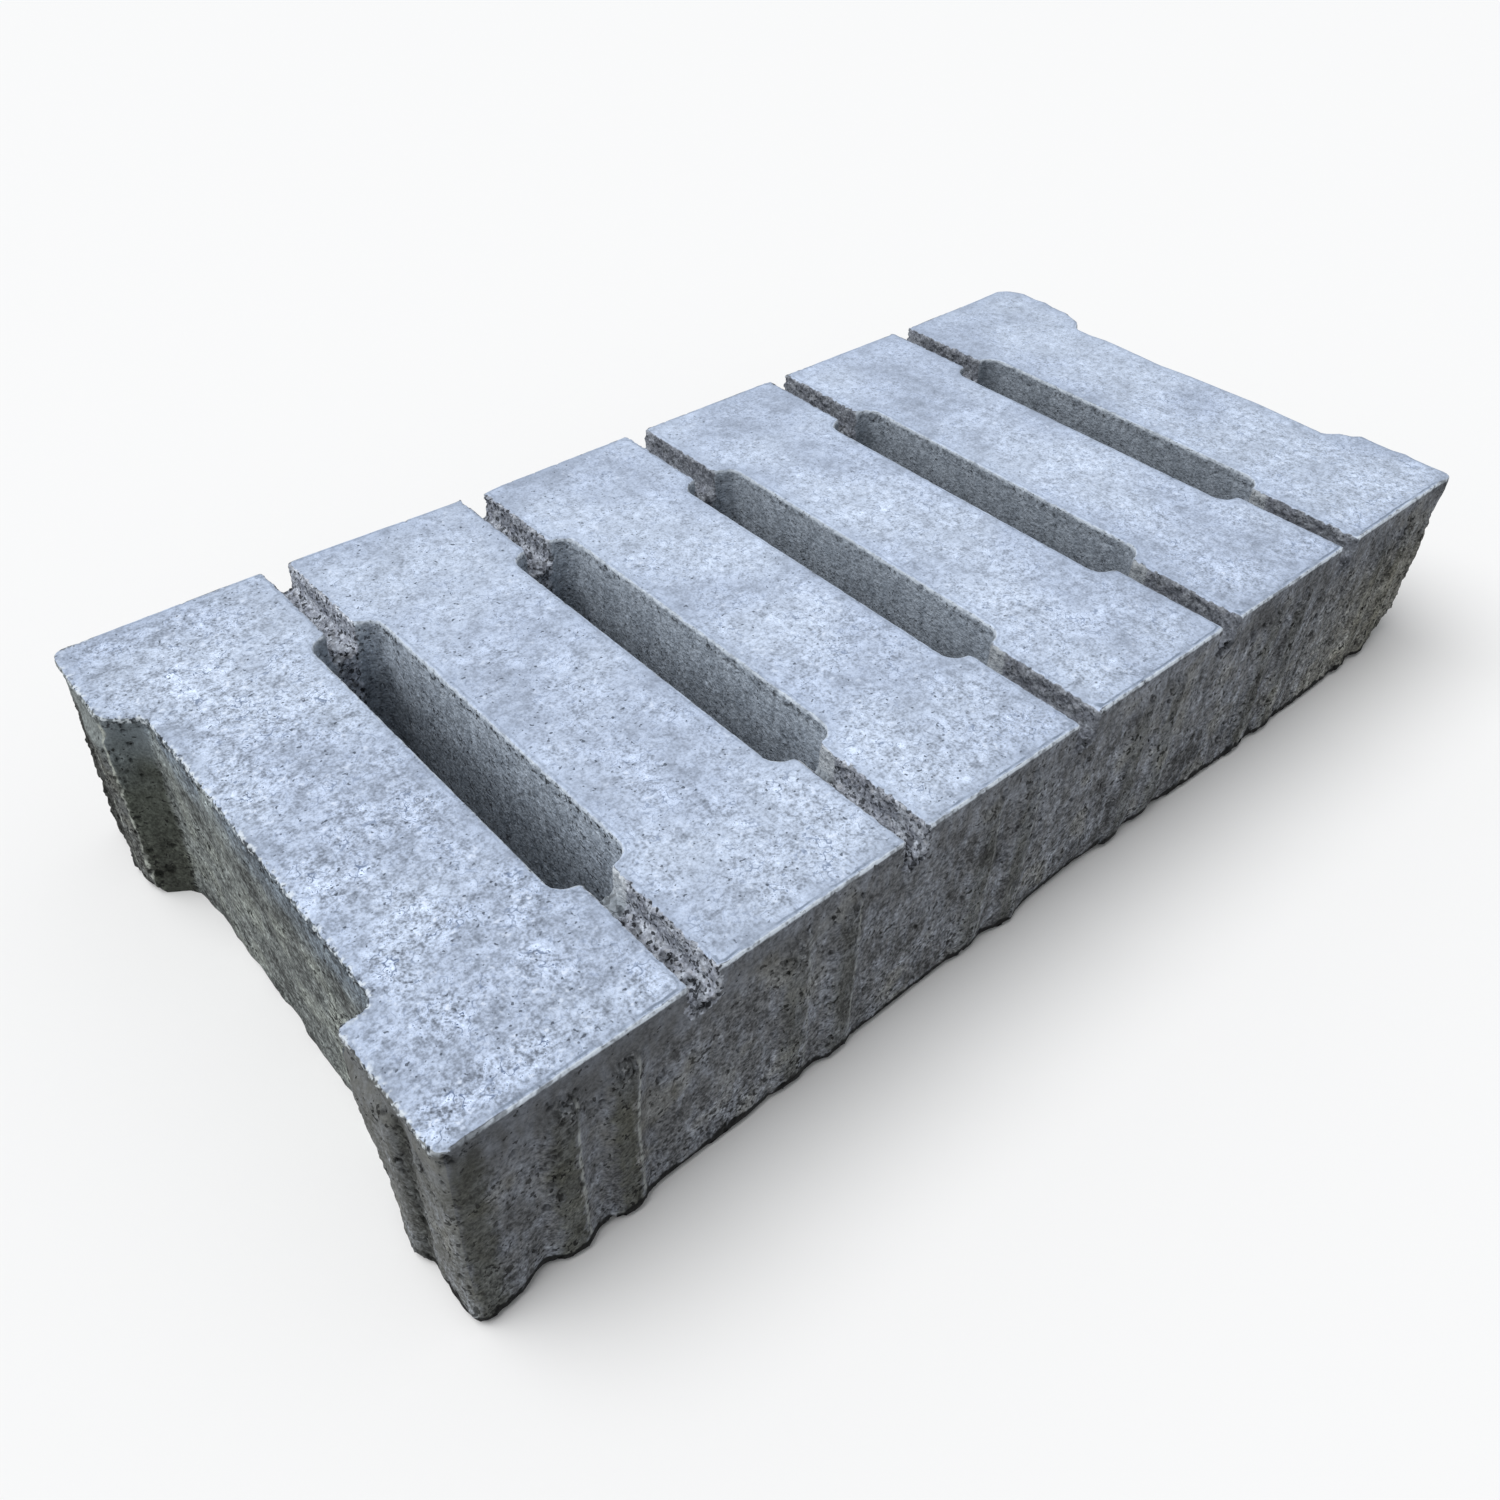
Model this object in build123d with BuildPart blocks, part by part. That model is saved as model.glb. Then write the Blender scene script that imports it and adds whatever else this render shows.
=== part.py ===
from build123d import *
import os

# Concrete grass paver, one pressed block, in millimetres.
# X runs along the long side, Y across, Z up. The block rests on Z = 0 and is centred on X and Y.

# the block
block_length = 598.0
block_width = 298.0
block_height = 100.0
corner_radius = 5.0          # the upright outer corners
back_right_radius = 11.0     # one of them is rounder
top_edge_radius = 1.2        # worn edge all round the top

# five slots go right through, and both ends have half a slot
slot_count = 5
slot_pitch = 100.0
slot_width = 31.0
slot_length = 180.0
slot_corner_radius = 8.0
half_slot_depth = 14.2
half_slot_corner_radius = 6.0
half_slot_mouth_left = 3.0    # rounding where a half slot opens to the end face
half_slot_mouth_right = 8.0

# open grooves run from each slot to the long sides
groove_width = 12.0
groove_depth = 14.0
groove_floor_radius = 3.0
groove_mouth_radius = 2.5    # the upright lips where a groove opens into its slot

# upright spacer ribs on the long sides, a pair on each bar between two slots
rib_pair = (-258.0, -234.0)  # X of the first pair on the front side
rib_base = 20.0
rib_crest = 8.0
rib_proud_end = 2.6          # the pair on the first bar
rib_proud = 1.6              # the pairs on the other bars
rib_height = 87.0

# one broad nib on each shoulder of the two ends
nib_centre = 108.5           # from the middle of the end face
nib_base = 38.0
nib_crest = 19.0
nib_proud = 2.3
nib_height = 88.0
nib_right_centre = 112.5     # on the right end they keep clear of the wider mouth
nib_right_base = 29.0

crest_radius = 1.5           # rounding along the edges of a rib's or nib's crest
crest_slope = 2.0            # its top falls this much for each mm that it stands out

half_l = block_length / 2
half_w = block_width / 2
slot_x = [(i - (slot_count - 1) / 2) * slot_pitch for i in range(slot_count)]


def upright_rib(base, crest, proud, height):
    """A rib against the plane Y = 0 that stands out towards -Y and has a sloping top."""
    with BuildPart() as rib:
        with BuildSketch(Plane.XY):
            with BuildLine():
                Polyline(
                    (-base / 2, 1),
                    (-base / 2, 0),
                    (-crest / 2, -proud),
                    (crest / 2, -proud),
                    (base / 2, 0),
                    (base / 2, 1),
                    close=True,
                )
            make_face()
        extrude(amount=height)
        fillet(rib.edges().filter_by(Axis.Z).group_by(Axis.Y)[0], crest_radius)
        with BuildSketch(Plane.YZ):
            with BuildLine():
                Polyline(
                    (0, height),
                    (-proud - 1, height - crest_slope * (proud + 1)),
                    (-proud - 1, height + 1),
                    (0, height + 1),
                    close=True,
                )
            make_face()
        extrude(amount=base, both=True, mode=Mode.SUBTRACT)
    return rib.part


rib_end = upright_rib(rib_base, rib_crest, rib_proud_end, rib_height)
rib_mid = upright_rib(rib_base, rib_crest, rib_proud, rib_height)
nib = upright_rib(nib_base, nib_crest, nib_proud, nib_height)
nib_right = upright_rib(nib_right_base, nib_crest, nib_proud, nib_height)

with BuildPart() as paver:
    # the block with half slots in its ends
    with BuildSketch(Plane.XY) as outline:
        Rectangle(block_length, block_width)
        back_right = outline.vertices().filter_by(lambda v: v.X > 0 and v.Y > 0)
        fillet(back_right, back_right_radius)
        corners = outline.vertices().filter_by(lambda v: v.X < 0 or v.Y < 0)
        fillet(corners, corner_radius)
        with Locations((-half_l, 0), (half_l, 0)):
            RectangleRounded(
                2 * half_slot_depth, slot_length, half_slot_corner_radius, mode=Mode.SUBTRACT
            )
        for side, radius in ((-1, half_slot_mouth_left), (1, half_slot_mouth_right)):
            mouths = outline.vertices().filter_by(
                lambda v: abs(side * v.X - half_l) < 0.01 and abs(abs(v.Y) - slot_length / 2) < 0.01
            )
            fillet(mouths, radius)
    extrude(amount=block_height)

    # the slots
    with BuildSketch(Plane.XY):
        with GridLocations(slot_pitch, 0, slot_count, 1):
            RectangleRounded(slot_width, slot_length, slot_corner_radius)
    extrude(amount=block_height, mode=Mode.SUBTRACT)

    # the grooves, cut across the top from one long side to the other
    with BuildSketch(Plane.XZ.offset(-half_w)) as groove_section:
        with Locations(*[(x, block_height) for x in slot_x]):
            Rectangle(groove_width, 2 * groove_depth)
        fillet(groove_section.vertices().group_by(Axis.Y)[0], groove_floor_radius)
    extrude(amount=block_width, mode=Mode.SUBTRACT)

    # the lips where each groove opens into its slot
    lips = paver.edges().filter_by(Axis.Z).filter_by(
        lambda e: abs(abs(e.center().Y) - slot_length / 2) < 0.1
        and e.center().Z > block_height - groove_depth
        and abs(e.center().X) < half_l - slot_pitch / 2
    )
    fillet(lips, groove_mouth_radius)

    # the worn top edge
    fillet(paver.edges().group_by(Axis.Z)[-1], top_edge_radius)

    # spacer ribs: the front side, and the same turned half a turn for the back
    bars = [k * slot_pitch for k in range(1, slot_count + 1)]
    with Locations(*[Location((x, -half_w, 0)) for x in rib_pair]):
        add(rib_end)
    with Locations(*[Location((x + k, -half_w, 0)) for k in bars for x in rib_pair]):
        add(rib_mid)
    with Locations(*[Location((-x, half_w, 0), (0, 0, 180)) for x in rib_pair]):
        add(rib_end)
    with Locations(*[Location((-x - k, half_w, 0), (0, 0, 180)) for k in bars for x in rib_pair]):
        add(rib_mid)

    # nibs on both ends
    with Locations(*[Location((-half_l, y, 0), (0, 0, -90)) for y in (-nib_centre, nib_centre)]):
        add(nib)
    right_y = (-nib_right_centre, nib_right_centre)
    with Locations(*[Location((half_l, y, 0), (0, 0, 90)) for y in right_y]):
        add(nib_right)

paver.part.label = "paver"

os.makedirs("parts", exist_ok=True)
export_step(paver.part, "parts/paver.step")
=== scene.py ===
import bpy
import numpy as np
from mathutils import Matrix, Vector, kdtree


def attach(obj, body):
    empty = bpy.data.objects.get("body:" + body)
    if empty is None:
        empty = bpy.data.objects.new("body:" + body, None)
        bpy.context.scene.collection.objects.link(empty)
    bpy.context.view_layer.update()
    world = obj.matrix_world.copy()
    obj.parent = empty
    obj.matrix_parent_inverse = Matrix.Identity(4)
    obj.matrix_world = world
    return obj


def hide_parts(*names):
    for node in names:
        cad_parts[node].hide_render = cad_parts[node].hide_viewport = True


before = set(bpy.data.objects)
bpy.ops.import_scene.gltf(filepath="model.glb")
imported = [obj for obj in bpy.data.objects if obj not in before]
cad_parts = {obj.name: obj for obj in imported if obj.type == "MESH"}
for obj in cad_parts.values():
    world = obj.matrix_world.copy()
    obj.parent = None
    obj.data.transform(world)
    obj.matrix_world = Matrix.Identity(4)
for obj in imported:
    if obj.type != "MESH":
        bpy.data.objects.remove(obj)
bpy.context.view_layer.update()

# The paver's own skin: the CAD solid remeshed finely, worked over in millimetres, thinned out again, in metres.
# X along the long side, Y across, Z up, the block on Z = 0.
MM = 0.001
VOXEL = 0.85
BUDGET = 197000

HALF_L, HALF_W, HEIGHT = 299.0, 149.0, 100.0
SLOT_HALF_W, SLOT_HALF_L, SLOT_R = 15.5, 90.0, 8.0
HALF_SLOT = 14.2
GROOVE_HALF_W, GROOVE_FLOOR = 6.0, 86.0
RIB_LINES = (-252.0, -228.0)      # the right edge of each rib's crest, first pair; the pairs repeat every 100


# ---------------------------------------------------------------- noise
def _table(seed):
    g = np.random.default_rng(seed).normal(size=(4096, 3))
    return (g / np.linalg.norm(g, axis=1, keepdims=True)).astype(np.float32)


GRAD = _table(7)
JIT = np.random.default_rng(11).random((4096, 4)).astype(np.float32)


def _mix(h, seed):
    h = h ^ np.int32((seed * 40503071) & 0x7FFFFFFF)
    h = (h ^ (h >> 15)) * np.int32(-2048144777)
    return (h ^ (h >> 13)) & 4095


def _lattice(p, size, seed, stretch, spread):
    """Lattice hashes of the cell corners (or neighbours) around each point, and the place inside the cell."""
    keys, fr = [], []
    for a, prime in enumerate((73856093, 19349663, 83492791)):
        q = p[:, a] / np.float32(size * stretch[a]) + np.float32(seed * 17.31 + a * 3.7)
        fl = np.floor(q)
        i = fl.astype(np.int32)
        keys.append([(i + d) * np.int32(prime) for d in spread])
        fr.append(q - fl)
    return keys, fr


def grain(p, size, seed, stretch=(1.0, 1.0, 1.0)):
    """Smooth gradient noise, about -1 to 1, with features about `size` mm wide."""
    keys, (fx, fy, fz) = _lattice(p, size, seed, stretch, (0, 1))
    ux, uy, uz = (f * f * f * (f * (f * 6 - 15) + 10) for f in (fx, fy, fz))
    out = np.zeros(len(p), np.float32)
    for dx in (0, 1):
        wx = ux if dx else 1 - ux
        for dy in (0, 1):
            wy = wx * (uy if dy else 1 - uy)
            for dz in (0, 1):
                g = GRAD[_mix(keys[0][dx] ^ keys[1][dy] ^ keys[2][dz], seed)]
                out += wy * (uz if dz else 1 - uz) * (g[:, 0] * (fx - dx) + g[:, 1] * (fy - dy) + g[:, 2] * (fz - dz))
    return out * 1.6


def cloud(p, size, seed, octaves=3, gain=0.5, stretch=(1.0, 1.0, 1.0)):
    out, a = np.zeros(len(p), np.float32), 1.0
    for o in range(octaves):
        out += a * grain(p, size / 2**o, seed + 31 * o, stretch)
        a *= gain
    return out


def cells(p, size, seed):
    """Distance to the nearest of a set of scattered points, in cell widths, and that point's own random number."""
    spread = (-1, 0, 1)
    keys, (fx, fy, fz) = _lattice(p, size, seed, (1.0, 1.0, 1.0), spread)
    best = np.full(len(p), 9.0, np.float32)
    own = np.zeros(len(p), np.float32)
    for i, dx in enumerate(spread):
        for j, dy in enumerate(spread):
            for k, dz in enumerate(spread):
                t = JIT[_mix(keys[0][i] ^ keys[1][j] ^ keys[2][k], seed)]
                d = (dx + t[:, 0] - fx) ** 2 + (dy + t[:, 1] - fy) ** 2 + (dz + t[:, 2] - fz) ** 2
                near = d < best
                best[near] = d[near]
                own[near] = t[near, 3]
    return np.sqrt(best), own


def ramp(a, b, x):
    t = np.clip((x - a) / (b - a), 0, 1)
    return t * t * (3 - 2 * t)


def hump(x, centre, width):
    return np.exp(-(((x - centre) / width) ** 2))


# ---------------------------------------------------------------- the block's plan
def rounded_box(x, y, cx, cy, hx, hy, r):
    qx, qy = np.abs(x - cx) - hx + r, np.abs(y - cy) - hy + r
    return np.hypot(np.maximum(qx, 0), np.maximum(qy, 0)) + np.minimum(np.maximum(qx, qy), 0) - r


def plan(p):
    x, y = p[:, 0], p[:, 1]
    sx = np.clip(np.round(x / 100.0), -2, 2) * 100.0
    outer = -rounded_box(x, y, 0, 0, HALF_L, HALF_W, 5.0)
    slot = rounded_box(x, y, sx, 0, SLOT_HALF_W, SLOT_HALF_L, SLOT_R)
    half = rounded_box(np.abs(x), y, HALF_L, 0, HALF_SLOT, SLOT_HALF_L, 6.0)
    groove = np.where(np.abs(y) > 84, np.abs(x - sx) - GROOVE_HALF_W, 99.0)
    return sx, outer, slot, half, groove


# ---------------------------------------------------------------- the fine mesh
def solid_copy(source, voxel):
    """The CAD solid's mesh in millimetres, remeshed into even quads of about `voxel` mm."""
    mesh = source.data.copy()
    mesh.transform(Matrix.Scale(1 / MM, 4))
    ob = bpy.data.objects.new("raw", mesh)
    bpy.context.scene.collection.objects.link(ob)
    m = ob.modifiers.new("even", "REMESH")
    m.mode, m.voxel_size = "VOXEL", voxel
    fine = bpy.data.meshes.new_from_object(ob.evaluated_get(bpy.context.evaluated_depsgraph_get()))
    bpy.data.objects.remove(ob)
    bpy.data.meshes.remove(mesh)
    return fine


def points(mesh):
    a = np.empty(len(mesh.vertices) * 3, np.float32)
    mesh.vertices.foreach_get("co", a)
    return a.reshape(-1, 3)


def normals(mesh):
    a = np.empty(len(mesh.vertices) * 3, np.float32)
    mesh.vertex_normals.foreach_get("vector", a)
    return a.reshape(-1, 3)


fine = solid_copy(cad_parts["paver"], VOXEL)
P0 = points(fine)
N0 = normals(fine)
x, y, z = (np.ascontiguousarray(c) for c in P0.T)
sx, d_outer, d_slot, d_half, d_groove = plan(P0)
lx = x - sx                                        # across the nearest slot
d_rim = np.minimum(np.minimum(d_outer, d_slot), np.minimum(d_half, d_groove))

up = ramp(0.6, 0.9, N0[:, 2])
top = up * ramp(97.5, 99.2, z)
front = ramp(0.6, 0.9, -N0[:, 1]) * ramp(-146, -148, y)
back = ramp(0.6, 0.9, N0[:, 1]) * ramp(146, 148, y)
ends = ramp(0.6, 0.9, np.abs(N0[:, 0])) * ramp(297, 298.4, np.abs(x))
recess = (1 - ramp(0.5, 2.0, d_half)) * (1 - up)
well = (1 - ramp(0.5, 2.0, d_slot)) * (1 - up)      # walls of the slots
outer_wall = (1 - ramp(0.5, 2.5, d_outer)) * (1 - up)
in_groove = (1 - ramp(-0.4, 1.6, d_groove)) * ramp(88.0, 91.0, np.abs(y)) * ramp(83.5, 85.0, z)
floor_of_groove = in_groove * up * (1 - ramp(92, 96, z))
left_end = ramp(-280, -284, x)

# ---------------------------------------------------------------- how the outline runs
D = np.zeros_like(P0)
L, W = x + HALF_L, y + HALF_W                       # from the left end, from the front side

# the foot of the front side wanders in and out
foot_x = [0, 26, 34, 46, 58, 66, 86, 118, 136, 166, 230, 262, 270, 286, 318, 340, 354, 374, 390, 428, 450, 500, 526, 550, 578, 596]
foot_y = [0, 1.2, -0.2, -1.6, -0.3, -1.4, -0.4, -1.0, 0.9, -0.3, 1.2, 1.2, -0.4, 1.4, 2.2, 1.0, 2.2, 2.6, 0, -0.9, 0, -1.2, -0.6, 1.0, -0.3, 2.0]
at_foot = 1 - ramp(0, 17, z)
D[:, 1] += np.interp(L, foot_x, foot_y) * at_foot * (1 - ramp(2, 14, W))
# the front left corner flares at its foot, the front right one is broken back below, the back left one juts out at its top
toe = np.clip(2.0 - 2.0 * np.abs(L - 9) / 20, 0, 1) * (1 - ramp(0, 22, W)) * (1 - ramp(0, 46, z)) ** 1.4
D[:, 1] -= 3.4 * toe
gone = np.interp(z, [0, 5, 10, 15, 22, 42, 54], [12, 9.2, 6.2, 4.2, 2.8, 1.8, 0]) * hump(np.hypot((x - HALF_L) / 1.0, (y + HALF_W) / 1.4), 0, 24)
D[:, 0] -= gone
D[:, 1] += 0.35 * gone
D[:, 0] += np.interp(z, [0, 60, 92, 97, 100], [0.4, 1.4, 2.0, 0.9, 0.3]) * hump(np.hypot(x + HALF_L, (y - HALF_W) / 1.6), 0, 12)
keen_corner = hump(np.hypot(x - HALF_L, y + HALF_W), 0, 6) * ramp(78, 94, z)
D[:, 0] += 1.3 * keen_corner
D[:, 1] -= 1.3 * keen_corner
# the foot of the left half slot's back wall wanders
D[:, 0] += (1.3 * grain(P0, 26, 89) + 0.7 * grain(P0, 9, 90)) * (1 - ramp(2, 22, z)) * recess * (x < 0)
# its far wall flares outwards
flare = 8.4 * np.clip(1 - L / 14.2, 0, 1) ** (1.1 + 0.9 * ramp(86, 97, z)) * np.clip(1 - (W - 239) / 23, 0, 1) * (W > 233)
D[:, 1] += flare
# the near lip of the left half slot is worn back towards its foot
D[:, 0] += 6.2 * hump(np.hypot((L - 1) / 1.7, W - 56), 0, 12) * (1 - ramp(8, 72, z))
# the right end bellies a little, its half slot opens more gently
belly = np.interp(W, [0, 5, 20, 26, 32, 45, 52, 56, 66, 90, 110, 130, 150, 170, 190, 210, 222, 232, 250, 262, 268, 275, 285, 290, 298],
                  [-1, 0.6, 1.3, 2.6, 1.0, 1.0, 1.8, 0, 2.6, 3.6, 4.6, 3.8, 3.0, 1.0, 2.0, 2.8, 1.2, 1.6, 0.6, 1.4, 2.8, 1.5, 2.2, 0, 0])
D[:, 0] += belly * ramp(262, 283, x) * (0.45 + 0.55 * ramp(30, 92, z))
slant_far = np.interp(L, [582, 584, 588, 592, 594, 596, 598], [0, -5, -5, -2, 2, 5, 5]) * (1 - ramp(2, 30, np.abs(y - 90)))
slant_near = np.interp(L, [582, 584, 588, 592, 594, 596, 598], [0, 6, 4.5, 2, -1, -2, -1]) * (1 - ramp(2, 30, np.abs(y + 90)))
D[:, 1] += (slant_far + slant_near) * (0.5 + 0.5 * ramp(30, 92, z)) * ramp(262, 290, x)
# the back side is not quite straight
D[:, 1] += np.interp(L, [0, 4, 60, 120, 160, 196, 206, 216, 255, 300, 510, 560, 585, 598],
                     [0, 1.2, 1.2, 1.0, -1.0, -2.0, -3.4, -2.6, -2.2, -1.9, -1.9, -1.2, 0, 0]) * ramp(112, 146, y) * (0.5 + 0.5 * ramp(30, 92, z))

# ragged outlines: a small sideways wander of whatever lies close to an edge of the top
near_rim = np.exp(-((np.abs(d_rim) / 2.2) ** 2)) * ramp(86, 97, z)
m = near_rim > 0.02
g = P0[m]
ragged_side = ramp(-1, 5, lx[m]) * (y[m] < 0) + ramp(5, -1, lx[m]) * 0.6 * (y[m] > 0) + ramp(-1, 5, lx[m]) * (y[m] > 0)
wander = 0.14 + np.exp(-((d_groove[m] / 2.6) ** 2)) * ramp(91, 95, np.abs(y[m])) * (0.30 + 0.75 * ragged_side)
wander = wander + 0.34 * left_end[m] + 0.22 * ramp(8, 14, lx[m]) * (1 - ramp(18, 22, lx[m]))
for a, (s1, s2) in enumerate(((101, 103), (105, 107), (109, 111))):
    w = 0.65 * grain(g, 3.2, s1) + 0.85 * grain(g, 1.7, s2)
    D[m, a] += (w if a < 2 else 0.45 * w - 0.22) * wander * near_rim[m]

# ---------------------------------------------------------------- how the surface is worked
# groove walls and floors: coarse open grain, more of it on the floor
m = in_groove > 0.01
g = P0[m]
f1, own = cells(g, 3.1, 21)
lumps = np.clip(0.75 - f1, -0.2, 0.75) * (0.5 + 1.3 * own)
coarse = 0.8 * cloud(g, 4.4, 23, 3, 0.62) + 1.6 * (lumps - 0.25)
chute = ramp(-101, -98, g[:, 1]) * (g[:, 1] < -80)
amount = (0.40 + 0.70 * floor_of_groove[m]) * in_groove[m] * (1 - 0.85 * chute) * (1 - 0.6 * ramp(95, 99, g[:, 2]))
D[m] += N0[m] * (coarse * amount)[:, None]

# the rough strip that runs on down the far wall of every slot, and the crumbled mouth on the long sides
strip = hump(lx, 0, 6.0) * ramp(88.5, 89.5, y) * (1 - ramp(91, 93, y)) * well
strip = strip * (1 - 0.65 * ramp(60, 25, z))
mouth = hump(lx, 0, 7.0) * ramp(79, 86, z) * np.maximum(front, back)
m = (strip + mouth) > 0.02
g = P0[m]
f1, own = cells(g, 3.4, 27)
coarse = 0.8 * cloud(g, 4.4, 29, 3, 0.6) + 1.4 * (np.clip(0.75 - f1, -0.2, 0.75) * (0.4 + 1.2 * own) - 0.2)
D[m] += N0[m] * (coarse * (strip + 0.9 * mouth)[m])[:, None]

# upright faces: slight unevenness and fine open grain, coarser lower down
m = (outer_wall > 0.02) | (recess > 0.02)
g = P0[m]
w = np.maximum(outer_wall, recess)[m]
drag = 0.26 * grain(g, 24, 31, (1, 1, 2.2)) + 0.13 * grain(g, 8, 33, (1, 1, 2.4))
low = 1 - 0.7 * ramp(78, 95, g[:, 2])
patchy = 0.45 + 0.9 * ramp(-0.2, 0.5, grain(g, 22, 39, (1, 1, 1.6)))
D[m] += N0[m] * ((drag * (1 - 0.5 * ramp(90, 98, g[:, 2])) + (0.15 * grain(g, 3.4, 35, (1, 1, 1.4)) + 0.13 * cloud(g, 2.1, 37, 2, 0.7)) * low * patchy) * w)[:, None]

m = (outer_wall > 0.02) & ((x < -285) | ((x > 240) & (y < -130)))
g = P0[m]
w = np.maximum(left_end[m], 1.25 * ramp(265, 292, g[:, 0]) * ramp(92, 70, g[:, 2])) * (0.5 + 0.5 * ramp(85, 70, g[:, 2])) * outer_wall[m]
D[m] += N0[m] * ((0.55 * grain(g, 5.5, 81, (1, 1, 1.3)) + 0.45 * cloud(g, 2.6, 83, 2, 0.7)) * w)[:, None]

m = (front > 0.02) & (x > -160)
g = P0[m]
w = ramp(-140, 260, g[:, 0]) * ramp(94, 82, g[:, 2]) * front[m]
D[m] += N0[m] * ((0.50 * grain(g, 9, 85, (1, 1, 2.6)) + 0.30 * cloud(g, 3.2, 87, 2, 0.7, (1, 1, 1.5))) * w)[:, None]

# shoulders of the left end: the near nib's flank is deeper than its crest, the far corner is crumbled
nib_flank = hump(W, 26, 4.6) * (1 - ramp(84, 94, z)) * left_end * outer_wall
D[:, 0] += (1.7 * nib_flank + (0.2 + 0.7 * (W < 150)) * (1 - ramp(93, 97.5, z)) * left_end * outer_wall)
crumbled = ramp(262.5, 266, W) * (1 - ramp(70, 86, z + 7 * grain(P0, 9, 95))) * left_end * outer_wall * ramp(0.30, 0.85, -N0[:, 0] + 0.20 * grain(P0, 7, 97))
m = crumbled > 0.02
g = P0[m]
D[m] += N0[m] * ((0.5 * grain(g, 5.0, 91) + 0.6 * cloud(g, 2.6, 93, 2, 0.7)) * crumbled[m])[:, None]

m = well > 0.02
g = P0[m]
D[m] += N0[m] * ((0.16 * grain(g, 14, 41, (1, 1, 1.8)) + 0.10 * grain(g, 3.4, 43, (1, 1, 1.2))
                  + 0.11 * cloud(g, 2.4, 45, 2, 0.6)) * well[m])[:, None]

# the walked-on face: nearly flat, with shallow hollows and a fine open skin
m = top > 0.02
g = P0[m]
D[m, 2] += (0.16 * grain(g, 60, 51) + 0.09 * grain(g, 16, 53) + 0.07 * grain(g, 5, 55) + 0.07 * grain(g, 2.4, 57)) * top[m]

# the burr that stands up along the outlines, with a shallow line inside it
burr = hump(d_rim, 0.4, 0.8) - 0.6 * hump(d_rim, 2.1, 0.7)
keen = 0.35 + 0.65 * ramp(-0.3, 0.5, grain(P0, 30, 61))
D[:, 2] += (0.07 + 0.08 * (W < 4)) * burr * top * keen * (1 - left_end) * (1 - np.exp(-((d_groove / 5.0) ** 2)))

# worn foot of the block: a low ragged undercut
foot = (1 - ramp(0.8, 3.4, z)) * outer_wall
m = foot > 0.01
g = P0[m]
D[m] -= N0[m] * (np.clip(1.9 + 1.1 * cloud(g, 7, 71, 3, 0.6), 0.6, 3.4) * foot[m])[:, None]

P = P0 + D
P[:, 2] = np.maximum(P[:, 2], 0.0)

# ---------------------------------------------------------------- pits and lumps
tree = kdtree.KDTree(len(P))
for i, c in enumerate(P.tolist()):
    tree.insert(c, i)
tree.balance()
rng = np.random.default_rng(4)
pit = np.zeros(len(P), np.float32)


def scoop(centre, radius, away, rough=0.25):
    """Moves whatever lies within the ball to its surface: a ball outside the block bites, one inside it bulges.
    `away` points from the skin to the ball's centre; what lies beyond the centre stays where it is."""
    hits = tree.find_range(Vector(centre), radius * (1 + rough))
    if not hits:
        return
    idx = np.fromiter((h[1] for h in hits), np.int64, len(hits))
    v = P[idx] - np.asarray(centre, np.float32)
    d = np.linalg.norm(v, axis=1)
    u = v / np.maximum(d, 1e-4)[:, None]
    r = radius * (1 + rough * np.sin(u @ np.float32([7.1, 3.3, 5.7]) + centre[0]) * np.cos(u @ np.float32([2.9, 6.1, 4.3]) + centre[1]))
    k = (d < r) & (u @ away < 0.15)
    move = (r - d)[k]
    P[idx[k]] = np.asarray(centre, np.float32) + u[k] * r[k, None]
    pit[idx[k]] = np.maximum(pit[idx[k]], move)


def scatter(mask, count, radius, share, sink=True):
    """Pits (or lumps) of random size over the vertices of a mask."""
    pool = np.flatnonzero(mask)
    if len(pool) == 0:
        return
    for i in rng.choice(pool, count):
        r = rng.uniform(*radius)
        side = N0[i] if sink else -N0[i]
        scoop(tuple(P[i] + side * (r - r * rng.uniform(*share))), r, side)


def clusters(mask, groups, each, spread, radius, share):
    """Knots of small pits close together."""
    pool = np.flatnonzero(mask)
    for i in rng.choice(pool, groups):
        hits = [h[1] for h in tree.find_range(Vector(P0[i].tolist()), spread * rng.uniform(0.6, 1.3))]
        hits = [h for h in hits if mask[h]]
        for h in rng.choice(hits, rng.integers(*each)) if hits else ():
            r = rng.uniform(*radius)
            scoop(tuple(P[h] + N0[h] * (r - r * rng.uniform(*share))), r, N0[h])


rib_x = np.zeros_like(x)
for line in RIB_LINES:
    for k in range(6):
        near_line = np.abs(x - line - 100 * k + 5) < 8
        rib_x[near_line] = 1
low = z < 92
clusters((front > 0.5) & low & (z > 6), 60, (4, 11), 7, (0.8, 1.7), (0.5, 0.9))
clusters((front > 0.5) & (rib_x > 0) & (z > 40) & (z < 80), 22, (4, 10), 6, (0.8, 1.9), (0.5, 0.95))
for line in RIB_LINES:
    for k in range(6):
        spot = (front > 0.4) & (np.abs(x - line - 100 * k + 4) < 6) & (z > 74) & (z < 90)
        scatter(spot, 16 if k == 0 else 10, (0.7, 1.5), (0.6, 1.0))
        scatter(spot, 6, (0.8, 1.4), (0.4, 0.7), sink=False)
scatter((front > 0.5) & low, 260, (0.9, 1.8), (0.5, 0.9))
clusters((back > 0.5) & low, 50, (4, 10), 7, (0.8, 1.8), (0.5, 0.9))
scatter((back > 0.5) & low, 260, (0.9, 1.9), (0.5, 0.9))
clusters((ends > 0.5) & low, 34, (4, 10), 6, (0.8, 1.9), (0.5, 0.9))
scatter((ends > 0.5) & low, 200, (0.9, 2.0), (0.5, 0.9))
corner_c = (x > 283) & (y < -128) & (z < 84) & (outer_wall > 0.4)
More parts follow.
